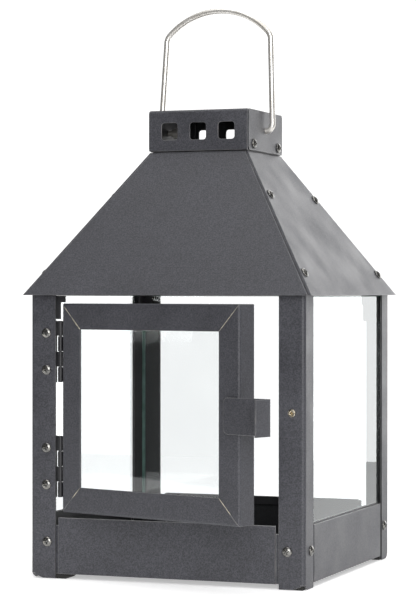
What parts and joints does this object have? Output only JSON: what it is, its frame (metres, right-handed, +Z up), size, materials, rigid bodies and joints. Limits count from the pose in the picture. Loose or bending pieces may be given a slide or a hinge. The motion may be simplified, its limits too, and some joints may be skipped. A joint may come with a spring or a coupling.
{
  "type": "candle lantern",
  "caption": "Square candle lantern of powder coated sheet steel with glass panes, a hinged glazed door, a pyramid roof, a vented chimney cap and a folding wire bail.",
  "frame": {"origin": "middle of the square base, at the ground", "axes": "+X to the right along the door side, +Y to the back, +Z up"},
  "size_m": [0.2002, 0.2659, 0.3833],
  "materials": {
    "powder_coat": "fine textured anthracite powder coat",
    "inner_fittings": "black coated steel",
    "clear_glass": "clear float glass",
    "stainless_wire": "drawn stainless wire",
    "foot_rubber": "matt black pad",
    "nickel_rivet": "nickel plated hollow rivet",
    "magnet": "black ferrite",
    "black_screws": "black oxide steel"
  },
  "bodies": {
    "lantern": {"base_tray": "powder_coat", "feet": "foot_rubber", "post_front_left": "powder_coat", "post_front_right": "powder_coat", "post_rear_left": "powder_coat", "post_rear_right": "powder_coat", "base_screws": "black_screws", "pane_channel_left": "inner_fittings", "pane_channel_right": "inner_fittings", "pane_channel_rear": "inner_fittings", "glass_left": "clear_glass", "glass_right": "clear_glass", "glass_rear": "clear_glass", "corner_bracket_front_left": "inner_fittings", "corner_bracket_front_right": "inner_fittings", "corner_bracket_rear_left": "inner_fittings", "corner_bracket_rear_right": "inner_fittings", "top_rail_front": "inner_fittings", "top_rail_rear": "inner_fittings", "top_rail_left": "inner_fittings", "top_rail_right": "inner_fittings", "roof_front": "powder_coat", "roof_rear": "powder_coat", "roof_left": "powder_coat", "roof_right": "powder_coat", "roof_screws": "black_screws", "roof_collar": "inner_fittings", "cap_shell": "powder_coat", "cap_side_left": "powder_coat", "cap_side_right": "powder_coat", "cap_screws": "black_screws", "hinge_upper_post_leaf": "inner_fittings", "hinge_upper_pin": "inner_fittings", "hinge_lower_post_leaf": "inner_fittings", "hinge_lower_pin": "inner_fittings", "hinge_screws": "black_screws", "latch_magnet": "magnet", "latch_button": "nickel_rivet"},
    "door": {"door_stile_hinge": "powder_coat", "door_stile_latch": "powder_coat", "door_rail_top": "powder_coat", "door_rail_bottom": "powder_coat", "door_glass": "clear_glass", "door_glass_clips": "inner_fittings", "door_pull": "powder_coat", "hinge_upper_door_leaf": "inner_fittings", "hinge_lower_door_leaf": "inner_fittings"},
    "bail": {"bail": "stainless_wire", "bail_keepers": "stainless_wire"}
  },
  "joints": [
    {"name": "door_hinge", "type": "hinge", "parent": "lantern", "child": "door", "pos_m": [-0.0741, -0.0942, 0.1118], "axis": [0, 0, -1], "range_deg": [-18.3, 111]},
    {"name": "bail_pivot", "type": "hinge", "parent": "lantern", "child": "bail", "pos_m": [0, 0, 0.2977], "axis": [1, 0, 0], "range_deg": [-94.5, 101.5]}
  ]
}
